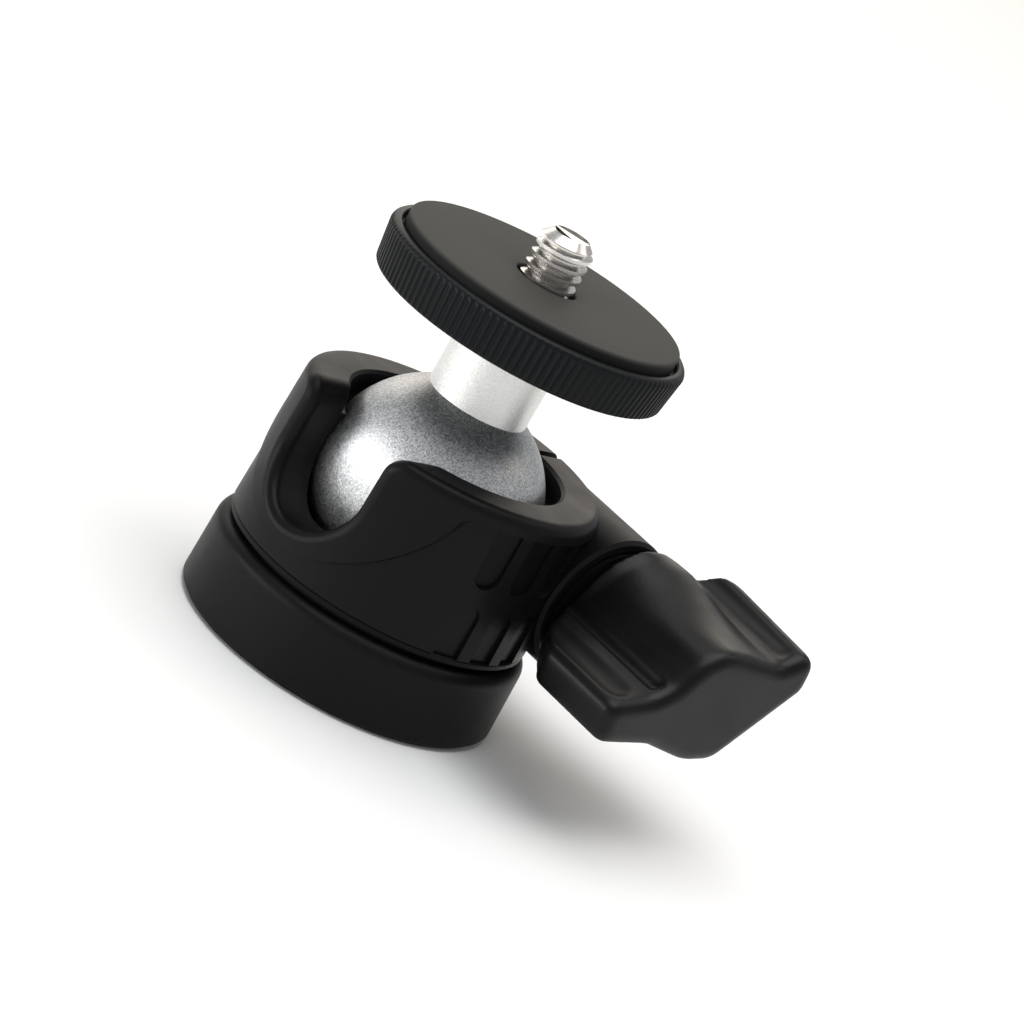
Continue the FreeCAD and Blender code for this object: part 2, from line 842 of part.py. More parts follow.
def make_ball_seat():
    """Dish of self-oiling plastic between the ball and the bowl of the foot."""
    angle = size["seat_angle"]
    hole = size["seat_hole_radius"]
    inner_edge = (seat_inner * sine(angle), ball_centre - seat_inner * cosine(angle))
    outer_edge = (seat_outer * sine(angle), ball_centre - seat_outer * cosine(angle))
    spots = [
        (hole, ball_centre - leg(seat_outer, hole)),
        outer_edge,
        inner_edge,
        (hole, ball_centre - leg(seat_inner, hole)),
    ]
    return turned("ball_seat", spots, {0: (seat_outer, 1), 2: (seat_inner, -1)})


def make_ball():
    """Ball with a flat for the stem's shoulder and a blind bore for its tail."""
    spots = [
        (zero, ball_centre - ball_radius),
        (ball_radius, ball_centre),
        (size["stem_radius"], stem_foot),
        (stem_tail_radius, stem_foot),
        (stem_tail_radius, stem_tail_floor),
        (zero, stem_tail_floor),
    ]
    return turned("ball", spots, {0: (ball_radius, 1), 1: (ball_radius, 1)})


def make_stem():
    """Turned stem: tail in the ball, shoulder, spigot in the platform, bore for the screw."""
    bore_floor = screw_foot - size["camera_bore_gap"]
    spigot_top = nut_floor - size["running_clearance"]
    spots = [
        (zero, stem_tail_floor),
        (stem_tail_radius, stem_tail_floor),
        (stem_tail_radius, stem_foot),
        (size["stem_radius"], stem_foot),
        (size["stem_radius"], stem_top),
        (spigot_radius, stem_top),
        (spigot_radius, spigot_top),
        (stem_bore_radius, spigot_top),
        (stem_bore_radius, bore_floor),
        (zero, bore_floor),
    ]
    return turned("stem", spots)


# Platform


def make_platform():
    """Disc with a rounded rim, a shallow recess for the pad and a pocket for the lock nut."""
    hole = spigot_radius + size["running_clearance"]
    recess = pad_recess_radius
    rim = size["platform_rim_round"]
    foot = size["platform_foot_round"]
    low_radius = size["platform_radius"] - size["platform_taper"]
    spots = [
        (hole, platform_base),
        (low_radius - foot, platform_base),
        (low_radius, platform_base + foot),
        (size["platform_radius"], platform_top - rim),
        (size["platform_radius"] - rim, platform_top),
        (recess, platform_top),
        (recess, pad_seat),
        (nut_pocket_radius, pad_seat),
        (nut_pocket_radius, nut_floor),
        (hole, nut_floor),
    ]
    return turned("platform", spots, {1: (foot, 1), 3: (rim, 1)})


def make_pad_film():
    """Ring of adhesive film between the platform and the pad."""
    inner = nut_pocket_radius + size["film_margin"]
    outer = pad_radius - size["film_margin"]
    return turned("pad_film", [
        (inner, pad_seat), (outer, pad_seat), (outer, pad_base), (inner, pad_base)])


def make_platform_pad():
    """Rubber disc the camera stands on, with a hole a little wider than the screw."""
    edge = size["pad_edge_round"]
    hole = size["camera_screw_radius"] + size["pad_hole_gap"]
    spots = [
        (hole, pad_base),
        (pad_radius, pad_base),
        (pad_radius, pad_top - edge),
        (pad_radius - edge, pad_top),
        (hole, pad_top),
    ]
    return turned("platform_pad", spots, {2: (edge, 1)})


def make_camera_screw():
    """Quarter-inch stud at the thread's outer radius: relieved at the pad, chamfered at the tip."""
    radius = size["camera_screw_radius"]
    chamfer = size["camera_screw_chamfer"]
    waist = radius - size["camera_screw_relief_depth"]
    waist_foot = pad_top - size["camera_screw_relief_length"]
    spots = [
        (zero, screw_foot),
        (radius, screw_foot),
        (radius, waist_foot),
        (waist, waist_foot),
        (waist, pad_top),
        (radius, pad_top),
        (radius, screw_tip - chamfer),
        (radius - chamfer, screw_tip),
        (zero, screw_tip),
    ]
    return turned("camera_screw", spots)


def make_lock_washer():
    radius = size["camera_screw_radius"]
    outer = radius + size["lock_washer_rim"]
    return turned("lock_washer", [
        (radius, nut_floor), (outer, nut_floor), (outer, nut_base), (radius, nut_base)])


def make_hex_piece(name, width, thickness, bore, start=None):
    """Hexagonal prism with an optional bore, standing on its own XY plane."""
    body = new_body(name)
    sketch = closed_outline(
        new_sketch(body, name + "_hexagon", "XY_Plane", start), hexagon_spots(width, zero, zero))
    pad(body, sketch, name + "_pad", thickness)
    if bore is not None:
        hole = new_sketch(body, name + "_bore_circle", "XY_Plane", start)
        circle_outline(hole, zero, zero, bore)
        pocket(body, hole, name + "_bore", thickness * 2, midplane=True)
    return body


def make_lock_nut():
    return make_hex_piece("lock_nut", size["lock_nut_width"], size["lock_nut_thickness"],
                          size["camera_screw_radius"], nut_base)


# Clamp screw, its nut and washers


def make_clamp_nut():
    bore = size["clamp_screw_radius"] + size["running_clearance"]
    nut = make_hex_piece("clamp_nut", size["clamp_nut_width"], size["clamp_nut_thickness"], bore)
    return lay_along_x(nut, -nut_start - size["clamp_nut_thickness"])


def make_clamp_screw():
    """Hexagon-head screw: the head sits in the knob's neck, the shank reaches the nut."""
    body = make_hex_piece("clamp_screw", size["clamp_head_width"],
                          size["clamp_head_thickness"], None)
    shank = new_sketch(body, "clamp_shank_circle", "XY_Plane", -clamp_shank_length)
    circle_outline(shank, zero, zero, size["clamp_screw_radius"])
    length = clamp_shank_length + size["clamp_head_thickness"] / 2
    pad(body, shank, "clamp_shank", length)
    return lay_along_x(body, head_start)


def make_ring(name, rim, thickness, clearance, start):
    """Flat ring round the clamp screw."""
    bore = size["clamp_screw_radius"] + clearance
    outer = size["clamp_screw_radius"] + rim
    ring = turned(name, [
        (bore, zero), (outer, zero), (outer, thickness), (bore, thickness)])
    return lay_along_x(ring, start)


# Knob


KNOB_CORNERS = ("near_tip_upper", "near_hollow", "near_rise", "crown", "far_valley", "far_tip_upper",
                "far_tip_lower", "far_shoulder", "keel", "near_valley", "near_tip_lower")


def wing_spot(name):
    return size[name + "_reach"], size[name + "_lift"]


def make_wings():
    """Prism of the knob's section with every long edge rounded and the end face eased."""
    body = new_body("wings")
    sketch = new_sketch(body, "wing_section", "XY_Plane", hub_start)
    closed_outline(sketch, [wing_spot(name) for name in reversed(KNOB_CORNERS)])
    pad(body, sketch, "wing_prism", size["knob_length"])
    for name in KNOB_CORNERS:
        round_edges(body, "wing_" + name, size[name + "_round"],
                    lambda edge, spot=wing_spot(name): upright_at(edge, spot))
    end = number_of(knob_end)
    round_edges(body, "wing_end", size["wing_end_round"],
                lambda edge: abs(edge.BoundBox.ZMin - end) < number_of(size["running_clearance"]))
    return body


def upright_at(edge, spot):
    """True for an edge that runs straight up at the spot."""
    first = edge.valueAt(edge.FirstParameter)
    last = edge.valueAt(edge.LastParameter)
    tolerance = number_of(size["running_clearance"])
    if math.hypot(first.x - last.x, first.y - last.y) > tolerance:
        return False
    return math.hypot(first.x - number_of(spot[0]), first.y - number_of(spot[1])) < tolerance


def make_envelope():
    """Cone that trims the wings so they leave the hub at a slant."""
    before = hub_start - size["overrun"]
    land = hub_start + size["knob_hub_round"]
    far = land + size["wing_chamfer_length"]
    end = knob_end + size["overrun"]
    narrow = size["knob_hub_radius"] + size["wing_start_rise"]
    wide = size["knob_hub_radius"] + size["wing_end_rise"]
    return turned("wing_envelope", [
        (zero, before), (narrow, before), (narrow, land), (wide, far), (wide, end), (zero, end)])


def make_hub():
    """Neck, round hub and the crown that runs out at the end face, hollowed on the near side."""
    edge = size["knob_hub_round"]
    radius = size["knob_hub_radius"]
    neck = hood_bore_radius - size["knob_neck_clearance"]
    end = knob_end - size["wing_end_round"]
    spots = [
        (zero, neck_start),
        (neck, neck_start),
        (neck, hub_start),
        (radius - edge, hub_start),
        (radius, hub_start + edge),
        (radius, hub_start + size["knob_hub_shoulder"]),
        (size["knob_crown_radius"], end),
        (zero, end),
    ]
    body = turned("hub", spots, {3: (edge, 1)})
    sink = size["knob_crown_sink"]
    outer, hollow, rise, crown = (wing_spot(name) for name in KNOB_CORNERS[:4])
    deep = size["knob_groove_floor"]
    root_share = size["knob_crown_root_share"]
    beyond = (crown[0] * 2 - rise[0] + sink, crown[1] * 2 - rise[1] - sink)
    foot = (rise[0] + sink - (crown[0] - rise[0]) * root_share,
            rise[1] - sink - (crown[1] - rise[1]) * root_share)
    face = new_sketch(body, "near_hollow_outline", "XY_Plane", hub_start + size["knob_hub_face"])
    closed_outline(face, [(outer[0], outer[1] - deep), (hollow[0], hollow[1] - deep),
                          foot, beyond, (outer[0], beyond[1])])
    pocket(body, face, "near_hollow_cut", size["knob_length"], reverse=True)
    round_edges(body, "crown_edge", size["knob_crown_edge_round"],
                lambda line: slants_along(line, foot, beyond))
    return body


def slants_along(edge, foot, beyond):
    """True for a long edge that climbs within the upright plane through both spots."""
    first = edge.valueAt(edge.FirstParameter)
    last = edge.valueAt(edge.LastParameter)
    middle = edge.valueAt((edge.FirstParameter + edge.LastParameter) / 2)
    tolerance = number_of(size["running_clearance"])
    x, y = number_of(foot[0]), number_of(foot[1])
    run_x, run_y = number_of(beyond[0]) - x, number_of(beyond[1]) - y
    off = abs((middle.x - x) * run_y - (middle.y - y) * run_x) / math.hypot(run_x, run_y)
    climbs = abs(first.z - last.z) > tolerance
    moves = math.hypot(first.x - last.x, first.y - last.y) > tolerance
    return off < tolerance and climbs and moves


def make_grip_cutters():
    """Round-ended rods that plough the lengthwise grooves into the knob's sides."""
    runs = (
        ("near_tip_upper", "near_hollow", "near_broad", "broad"),
        ("near_hollow", "near_rise", "near_narrow", "narrow"),
        ("far_valley", "far_tip_upper", "far_top", "broad"),
        ("far_tip_lower", "far_shoulder", "far_upper", "narrow"),
        ("far_tip_lower", "far_shoulder", "far_lower", "narrow"),
        ("near_valley", "near_tip_lower", "near_under", "broad"),
    )
    start = hub_start - size["overrun"]
    rods = []
    for first, last, name, kind in runs:
        radius = size["grip_" + kind + "_radius"]
        stand_off = radius - size["grip_" + kind + "_depth"]
        end = knob_end - size["grip_groove_margin"] - leg(radius, stand_off)
        x, y = groove_spot(wing_spot(first), wing_spot(last), size["grip_" + name + "_share"], stand_off)
        rod = turned("grip_" + name, [
            (zero, start), (radius, start), (radius, end), (zero, end + radius)], {2: (radius, 1)})
        bind(rod, "Placement.Base.x", x)
        bind(rod, "Placement.Base.y", y)
        rods.append(rod)
    return combine("MultiFuse", "grip_rods", rods)


def groove_spot(first, last, share, stand_off):
    """Centre of a groove's rod: a share of the way along a side, standing off outwards."""
    run_x = last[0] - first[0]
    run_y = last[1] - first[1]
    length = root(run_x * run_x + run_y * run_y)
    return (first[0] + run_x * share - run_y / length * stand_off,
            first[1] + run_y * share + run_x / length * stand_off)


def make_knob():
    trimmed = combine("MultiCommon", "wings_trimmed", [make_wings(), make_envelope()])
    grooved = combine("Cut", "wings_grooved", [trimmed, make_grip_cutters()])
    joined = combine("MultiFuse", "knob_joined", [grooved, make_hub()])
    body = new_body("knob", joined)
    doc.recompute()
    recess = new_sketch(body, "retainer_recess_circle", "XY_Plane", neck_start)
    circle_outline(recess, zero, zero, size["clamp_screw_radius"] + size["retainer_rim"])
    pocket(body, recess, "retainer_recess", size["retainer_thickness"], reverse=True)
    head = new_sketch(body, "head_pocket_hexagon", "XY_Plane", head_start)
    closed_outline(head, hexagon_spots(size["clamp_head_width"], zero, zero))
    pocket(body, head, "head_pocket", size["clamp_head_thickness"], reverse=True)
    return lay_along_x(body)


def make_all():
    loose = size["running_clearance"]
    return [
        make_base_ring(),
        make_threaded_insert(),
        make_base_screws(),
        make_housing_foot(),
        make_housing(),
        make_clamp_nut(),
        make_ball_seat(),
        make_ball(),
        make_stem(),
        make_platform(),
        make_pad_film(),
        make_platform_pad(),
        make_camera_screw(),
        make_lock_washer(),
        make_lock_nut(),
        make_ring("thrust_washer", size["washer_rim"], size["washer_thickness"],
                  loose, washer_start),
        make_ring("spring_washer", size["spring_washer_rim"],
                  size["spring_washer_thickness"], loose, spring_start),
        make_knob(),
        make_clamp_screw(),
        make_ring("screw_retainer", size["retainer_rim"], size["retainer_thickness"],
                  zero, neck_start),
    ]


pieces = make_all()
doc.recompute()
for item in doc.Objects:
    if "Invalid" in item.State or "Error" in item.State:
        raise RuntimeError(item.Name + " has not been computed")
for piece in pieces:
    if piece.Shape.isNull() or not piece.Shape.isValid():
        raise RuntimeError(piece.Label + " has no valid shape")

os.makedirs("parts", exist_ok=True)
for piece in pieces:
    piece.Shape.exportStep(os.path.join("parts", piece.Label + ".step"))
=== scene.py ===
"""Looks of the mini ball head: camera, soft studio light, finishes and the finely shaped pieces."""

import math

import bpy
from mathutils import Matrix, Vector


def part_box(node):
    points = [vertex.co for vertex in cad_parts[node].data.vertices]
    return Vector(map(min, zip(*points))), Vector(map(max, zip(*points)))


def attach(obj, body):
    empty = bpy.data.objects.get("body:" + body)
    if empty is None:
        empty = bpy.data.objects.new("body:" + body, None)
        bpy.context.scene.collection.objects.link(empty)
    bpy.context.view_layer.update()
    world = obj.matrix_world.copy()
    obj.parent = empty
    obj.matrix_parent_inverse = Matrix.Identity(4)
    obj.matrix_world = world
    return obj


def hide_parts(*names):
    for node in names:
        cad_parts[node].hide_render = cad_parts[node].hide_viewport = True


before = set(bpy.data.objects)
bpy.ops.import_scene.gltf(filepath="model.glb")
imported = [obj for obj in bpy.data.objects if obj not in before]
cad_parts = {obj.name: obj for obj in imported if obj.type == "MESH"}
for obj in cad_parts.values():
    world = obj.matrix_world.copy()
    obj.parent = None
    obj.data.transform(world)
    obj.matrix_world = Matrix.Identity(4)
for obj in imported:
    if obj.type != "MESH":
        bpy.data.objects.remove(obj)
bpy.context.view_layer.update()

MM = 0.001
FULL_TURN = 2 * math.pi


# Camera at the photograph's viewing angle, turned a little more in its own plane at the end

CAMERA_PLACE = Vector((237.434, -288.031, 135.937)) * MM
CAMERA_RIGHT = Vector((0.59928883, 0.64897948, 0.46869877))
CAMERA_DOWN = Vector((0.54013354, 0.1043306, -0.83508735))
CAMERA_EXTRA_ROLL = math.radians(0.9)
CAMERA_CLIP_START = 10 * MM
SENSOR_WIDTH = 36.0
FOCAL_LENGTH = 126.5625


def add_camera():
    """Adds the camera and gives its right, up and back directions, from which the lights are set."""
    cosine = math.cos(CAMERA_EXTRA_ROLL)
    sine = math.sin(CAMERA_EXTRA_ROLL)
    right = CAMERA_RIGHT * cosine - CAMERA_DOWN * sine
    up = -(CAMERA_DOWN * cosine + CAMERA_RIGHT * sine)
    back = right.cross(up)
    data = bpy.data.cameras.new("photo_camera")
    data.sensor_width = SENSOR_WIDTH
    data.lens = FOCAL_LENGTH
    data.clip_start = CAMERA_CLIP_START
    camera = bpy.data.objects.new("photo_camera", data)
    turned = Matrix((right, up, back)).transposed().to_4x4()
    camera.matrix_world = Matrix.Translation(CAMERA_PLACE) @ turned
    bpy.context.scene.collection.objects.link(camera)
    bpy.context.scene.camera = camera
    return right, up, back


camera_right, camera_up, camera_back = add_camera()


# Colours, pattern scales and node building

def linear(hex_colour):
    """One sRGB hex colour as linear red, green, blue and alpha."""
    channels = [int(hex_colour[at:at + 2], 16) / 255 for at in (1, 3, 5)]
    return tuple(c / 12.92 if c <= 0.04045 else ((c + 0.055) / 1.055) ** 2.4
                 for c in channels) + (1.0,)


def cells(size):
    """Pattern scale whose cells are that many millimetres across."""
    return 1 / (size * MM)


def add_node(tree, kind, settings=None, links=None):
    """Adds one node, fills its properties and sockets, and links other nodes' outputs into it."""
    node = tree.nodes.new(kind)
    for name, value in (settings or {}).items():
        if isinstance(name, int) or name in node.inputs:
            node.inputs[name].default_value = value
        else:
            setattr(node, name, value)
    for name, source in (links or {}).items():
        tree.links.new(source, node.inputs[name])
    return node


def new_material(name):
    """Empty node material, its tree, and the object coordinates that its patterns read."""
    material = bpy.data.materials.new(name)
    material.use_nodes = True
    tree = material.node_tree
    tree.nodes.clear()
    place = add_node(tree, "ShaderNodeTexCoord").outputs["Object"]
    return material, tree, place


def finish_material(material, tree, shader):
    add_node(tree, "ShaderNodeOutputMaterial", None, {"Surface": shader.outputs[0]})
    return material


def moulded_plastic(name, dark, light, roughness, level, grain, relief):
    """Injection-moulded plastic with the faint spark-eroded grain of its mould.

    The grain of a real mould is too fine to show, so it is drawn 0.2 to 0.4 mm across.
    """
    material, tree, place = new_material(name)
    cloud = add_node(tree, "ShaderNodeTexNoise", {"Scale": cells(7), "Detail": 3.0},
                     {"Vector": place})
    grit = add_node(tree, "ShaderNodeTexNoise", {"Scale": cells(grain), "Detail": 2.0},
                    {"Vector": place})
    tone = add_node(tree, "ShaderNodeMix",
                    {"data_type": "RGBA", 6: linear(dark), 7: linear(light)},
                    {0: cloud.outputs["Fac"]})
    sheen = add_node(tree, "ShaderNodeMapRange",
                     {"From Min": 0.3, "From Max": 0.7,
                      "To Min": roughness - 0.05, "To Max": roughness + 0.06},
                     {"Value": cloud.outputs["Fac"]})
    bump = add_node(tree, "ShaderNodeBump", {"Strength": relief, "Distance": 0.02 * MM},
                    {"Height": grit.outputs["Fac"]})
    shader = add_node(tree, "ShaderNodeBsdfPrincipled", {"IOR": 1.5, "Specular IOR Level": level},
                      {"Base Color": tone.outputs[2], "Roughness": sheen.outputs[0],
                       "Normal": bump.outputs[0]})
    return finish_material(material, tree, shader)


def blasted_aluminium(name, dark, light, roughness, grain, relief):
    """Aluminium turned and then blasted with beads: a soft glow broken up by sparkling dimples.

    Real dimples are too fine to show, so they are drawn a little over 0.1 mm across.
    """
    material, tree, place = new_material(name)
    dimples = add_node(tree, "ShaderNodeTexVoronoi", {"Scale": cells(grain)}, {"Vector": place})
    grit = add_node(tree, "ShaderNodeTexNoise", {"Scale": cells(grain), "Detail": 1.0},
                    {"Vector": place})
    tone = add_node(tree, "ShaderNodeMix",
                    {"data_type": "RGBA", 6: linear(dark), 7: linear(light)},
                    {0: dimples.outputs["Color"]})
    glint = add_node(tree, "ShaderNodeMapRange",
                     {"To Min": roughness - 0.1, "To Max": roughness + 0.1},
                     {"Value": dimples.outputs["Color"]})
    bump = add_node(tree, "ShaderNodeBump", {"Strength": relief, "Distance": 0.02 * MM},
                    {"Height": grit.outputs["Fac"]})
    shader = add_node(tree, "ShaderNodeBsdfPrincipled", {"Metallic": 1.0},
                      {"Base Color": tone.outputs[2], "Roughness": glint.outputs[0],
                       "Normal": bump.outputs[0]})
    return finish_material(material, tree, shader)


def turned_metal(name, dark, light, roughness, line):
    """Bright turned or plated metal: fine rings from the tool, square to the upright axis.

    Real tool marks are too fine to show, so they are drawn a little over 0.1 mm apart.
    """
    material, tree, place = new_material(name)
    stretch = add_node(tree, "ShaderNodeMapping", {"Scale": (0.02, 0.02, 1.0)}, {"Vector": place})
    rings = add_node(tree, "ShaderNodeTexNoise", {"Scale": cells(line), "Detail": 2.0},
                     {"Vector": stretch.outputs[0]})
    tone = add_node(tree, "ShaderNodeMix",
                    {"data_type": "RGBA", 6: linear(dark), 7: linear(light)},
                    {0: rings.outputs["Fac"]})
    gloss = add_node(tree, "ShaderNodeMapRange",
                     {"To Min": roughness - 0.04, "To Max": roughness + 0.08},
                     {"Value": rings.outputs["Fac"]})
    bump = add_node(tree, "ShaderNodeBump", {"Strength": 0.12, "Distance": 0.01 * MM},
                    {"Height": rings.outputs["Fac"]})
    shader = add_node(tree, "ShaderNodeBsdfPrincipled", {"Metallic": 1.0},
                      {"Base Color": tone.outputs[2], "Roughness": gloss.outputs[0],
                       "Normal": bump.outputs[0]})
    return finish_material(material, tree, shader)


# Finishes, each named for what the real one is; grain and line are in millimetres

# Black ABS from a spark-eroded mould: a soft satin sheen on the flanks and the collar
housing_abs = moulded_plastic(
    "moulded_abs_housing", "#0c0c0e", "#101012", roughness=0.4, level=0.12, grain=0.3, relief=0.7)
# The same ABS as one cup: a quiet, slightly flatter black
ring_abs = moulded_plastic(
    "moulded_abs_base_ring", "#0c0c0d", "#101011", roughness=0.45, level=0.12, grain=0.22,
    relief=0.35)
# The band that shows between ring and flank: the same black again, made a little darker as painted
# shade for the recess it sits in
foot_abs_painted_shade = moulded_plastic(
    "moulded_abs_foot", "#0a0a0b", "#0e0e0f", roughness=0.45, level=0.1, grain=0.22, relief=0.3)
# Glass-filled nylon knob: a touch glossier where fingers polish it
knob_nylon = moulded_plastic(
    "moulded_nylon_knob", "#0a0a0b", "#0d0d0e", roughness=0.36, level=0.2, grain=0.3, relief=0.6)
# Ribbed platform in black nylon: a low sheen that picks out each rib
platform_nylon = moulded_plastic(
    "moulded_nylon_platform", "#0f1112", "#131517", roughness=0.42, level=0.14, grain=0.22,
    relief=0.25)
# Acetal seat under the ball: natural white, slippery
seat_acetal = moulded_plastic(
    "machined_acetal_seat", "#dcd9cf", "#e6e3da", roughness=0.4, level=0.5, grain=0.4, relief=0.1)
# Bead-blasted aluminium ball with a sparkling frost
ball_aluminium = blasted_aluminium(
    "bead_blasted_aluminium_ball", "#8e9092", "#f8f9fa", roughness=0.42, grain=0.13, relief=1.0)
# Stem with a flatter, paler frost
stem_aluminium = blasted_aluminium(
    "satin_aluminium_stem", "#cdcdcb", "#f2f2f0", roughness=0.38, grain=0.13, relief=0.35)
# Bright stainless camera screw: sharp light and dark bands along its thread
screw_stainless = turned_metal(
    "turned_stainless_camera_screw", "#cfccc8", "#efece8", roughness=0.2, line=0.12)
# Zinc-plated steel of the small fasteners: a cool, even grey shine
plated_steel = turned_metal(
    "zinc_plated_steel_fasteners", "#a3a5a8", "#c6c8cb", roughness=0.26, line=0.15)
# Dark, slightly dull spring steel of the spring washer and retainer
spring_steel = turned_metal("spring_steel_rings", "#56585c", "#797c80", roughness=0.3, line=0.15)
# Turned brass insert: warm yellow gloss
insert_brass = turned_metal("turned_brass_insert", "#b08d4a", "#d2b06a", roughness=0.22, line=0.12)

# The pad's side is painted black as painted shade, fading into its grey top between these depths below
# the top
PAD_PAINTED_SHADE_DEPTH = 0.5 * MM
PAD_SHADE_FADE_DEPTH = 0.1 * MM


def pad_rubber_material(top):
    """Moulded rubber pad: warm dark grey on top, quite matte, with a leathery grain; its edge is
    painted black as painted shade.

    The grain of the real rubber is too fine to show, so it is drawn 0.3 mm across.
    """
    material, tree, place = new_material("moulded_rubber_pad")
    cloud = add_node(tree, "ShaderNodeTexNoise", {"Scale": cells(9), "Detail": 4.0},
                     {"Vector": place})
    grit = add_node(tree, "ShaderNodeTexNoise", {"Scale": cells(0.3), "Detail": 3.0},
                    {"Vector": place})
    tone = add_node(tree, "ShaderNodeMix",
                    {"data_type": "RGBA", 6: linear("#373632"), 7: linear("#3d3c38")},
                    {0: cloud.outputs["Fac"]})
    height = add_node(tree, "ShaderNodeSeparateXYZ", None, {0: place})
    # Painted shade: below its top the pad's side fades to black, standing for the shade along its side
    edge = add_node(tree, "ShaderNodeMapRange",
                    {"From Min": top - PAD_PAINTED_SHADE_DEPTH, "From Max": top - PAD_SHADE_FADE_DEPTH},
                    {"Value": height.outputs[2]})
    skin = add_node(tree, "ShaderNodeMix", {"data_type": "RGBA", 6: linear("#0c0c0c")},
                    {0: edge.outputs[0], 7: tone.outputs[2]})
    bump = add_node(tree, "ShaderNodeBump", {"Strength": 0.25, "Distance": 0.02 * MM},
                    {"Height": grit.outputs["Fac"]})
    shader = add_node(tree, "ShaderNodeBsdfPrincipled",
                      {"Roughness": 0.75, "IOR": 1.45, "Specular IOR Level": 0.3},
                      {"Base Color": skin.outputs[2], "Normal": bump.outputs[0]})
    return finish_material(material, tree, shader)


def film_material():
    """Double-sided adhesive film under the pad: smooth, dull and slightly amber."""
    material, tree, place = new_material("adhesive_film")
    cloud = add_node(tree, "ShaderNodeTexNoise", {"Scale": cells(4), "Detail": 2.0},
                     {"Vector": place})
    tone = add_node(tree, "ShaderNodeMix",
                    {"data_type": "RGBA", 6: linear("#8a7a58"), 7: linear("#9b8b68")},
                    {0: cloud.outputs["Fac"]})
    shader = add_node(tree, "ShaderNodeBsdfPrincipled", {"Roughness": 0.5, "IOR": 1.47},
                      {"Base Color": tone.outputs[2]})
    return finish_material(material, tree, shader)


def floor_material():
    """Matte white studio paper: a soft, even white."""
    material, tree, place = new_material("matte_paper_floor")
    cloud = add_node(tree, "ShaderNodeTexNoise", {"Scale": cells(60), "Detail": 2.0},
                     {"Vector": place})
    tone = add_node(tree, "ShaderNodeMix",
                    {"data_type": "RGBA", 6: linear("#f4f4f3"), 7: linear("#f8f8f7")},
                    {0: cloud.outputs["Fac"]})
    shader = add_node(tree, "ShaderNodeBsdfPrincipled",
                      {"Roughness": 0.9, "Specular IOR Level": 0.1},
                      {"Base Color": tone.outputs[2]})
    return finish_material(material, tree, shader)


pad_rubber = pad_rubber_material(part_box("platform_pad")[1].z)
film = film_material()

CAD_FINISHES = {
    "base_ring": ring_abs,
    "threaded_insert": insert_brass,
    "base_screws": plated_steel,
    "housing_foot": foot_abs_painted_shade,
    "housing": housing_abs,
    "clamp_nut": plated_steel,
    "ball_seat": seat_acetal,
    "ball": ball_aluminium,
    "stem": stem_aluminium,
    "platform": platform_nylon,
    "pad_film": film,
    "platform_pad": pad_rubber,
    "camera_screw": screw_stainless,
    "lock_washer": plated_steel,
    "lock_nut": plated_steel,
    "thrust_washer": plated_steel,
    "spring_washer": spring_steel,
    "knob": knob_nylon,
    "clamp_screw": plated_steel,
    "screw_retainer": spring_steel,
}
for node_name, finish in CAD_FINISHES.items():
    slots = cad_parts[node_name].data.materials
    slots.clear()
    slots.append(finish)


# Shaping helpers: a line of points is drawn by extruding one vertex, then spun, screwed or filled

MERGE_LIMIT = 0.002 * MM


def drawn_line(name, spots):
    """New mesh in edit mode holding one open line through the (x, y, z) spots, in metres."""
    bpy.ops.object.select_all(action="DESELECT")
    bpy.ops.mesh.primitive_plane_add(size=MM, location=(0, 0, 0))
    piece = bpy.context.object
    piece.name = name
    piece.data.name = name
    bpy.ops.object.mode_set(mode="EDIT")
    bpy.ops.mesh.select_mode(type="VERT")
    bpy.ops.mesh.select_all(action="SELECT")
    bpy.ops.mesh.merge(type="CENTER")
    bpy.ops.transform.translate(value=spots[0])
    for spot, next_spot in zip(spots, spots[1:]):
        step = [after - before for before, after in zip(spot, next_spot)]
        bpy.ops.mesh.extrude_region_move(TRANSFORM_OT_translate={"value": step})
    return piece


def merge_doubles():
    bpy.ops.mesh.select_all(action="SELECT")
    bpy.ops.mesh.remove_doubles(threshold=MERGE_LIMIT)


def close_up(piece):
    """Merges doubled points, turns every face outwards and leaves edit mode."""
    merge_doubles()
    bpy.ops.mesh.normals_make_consistent(inside=False)
    bpy.ops.object.mode_set(mode="OBJECT")
    return piece


def spun(name, spots, steps):
    """Solid of revolution round the Z axis through (radius, height) spots that close or end on it."""
    piece = drawn_line(name, [(radius, 0, height) for radius, height in spots])
    bpy.ops.mesh.select_all(action="SELECT")
    bpy.ops.mesh.spin(steps=steps, angle=FULL_TURN, center=(0, 0, 0), axis=(0, 0, 1))
    return close_up(piece)


def smooth_by_angle(piece, degrees):
    """Smooth shading, except over edges that turn by more than that many degrees."""
    bpy.ops.object.select_all(action="DESELECT")
    piece.select_set(True)
    bpy.context.view_layer.objects.active = piece
    bpy.ops.object.shade_smooth_by_angle(angle=math.radians(degrees))


def apply_modifier(piece, kind, **settings):
    modifier = piece.modifiers.new(kind.lower(), kind)
    for name, value in settings.items():
        setattr(modifier, name, value)
    bpy.context.view_layer.objects.active = piece
    bpy.ops.object.modifier_apply(modifier=modifier.name)


def combine(piece, tool, operation):
    """Joins the tool to the piece, cuts it away or keeps what both share, and uses it up."""
    apply_modifier(piece, "BOOLEAN", operation=operation, solver="EXACT", object=tool)
    bpy.data.objects.remove(tool)


def stand_in(piece, node_name, body, finish):
    """The piece takes the place of a CAD node, its finish and its body."""
    piece.data.materials.clear()
    piece.data.materials.append(finish)
    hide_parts(node_name)
    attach(piece, body)


# Camera screw with its quarter-inch thread, twenty turns to the inch

THREAD_PITCH = 1.27 * MM
THREAD_CREST_SHARE = 0.3
THREAD_ROOT_SHARE = 0.14
THREAD_DEPTH = 0.66 * MM
THREAD_STEPS = 64
# The thread is drawn past both ends of the screw and cut back
THREAD_RUN_OUT = 1.5 * THREAD_PITCH
THREAD_SPARE_TURNS = 2
SCREW_CHAMFER = 1.1 * MM
SCREW_SHARP_ANGLE = 40


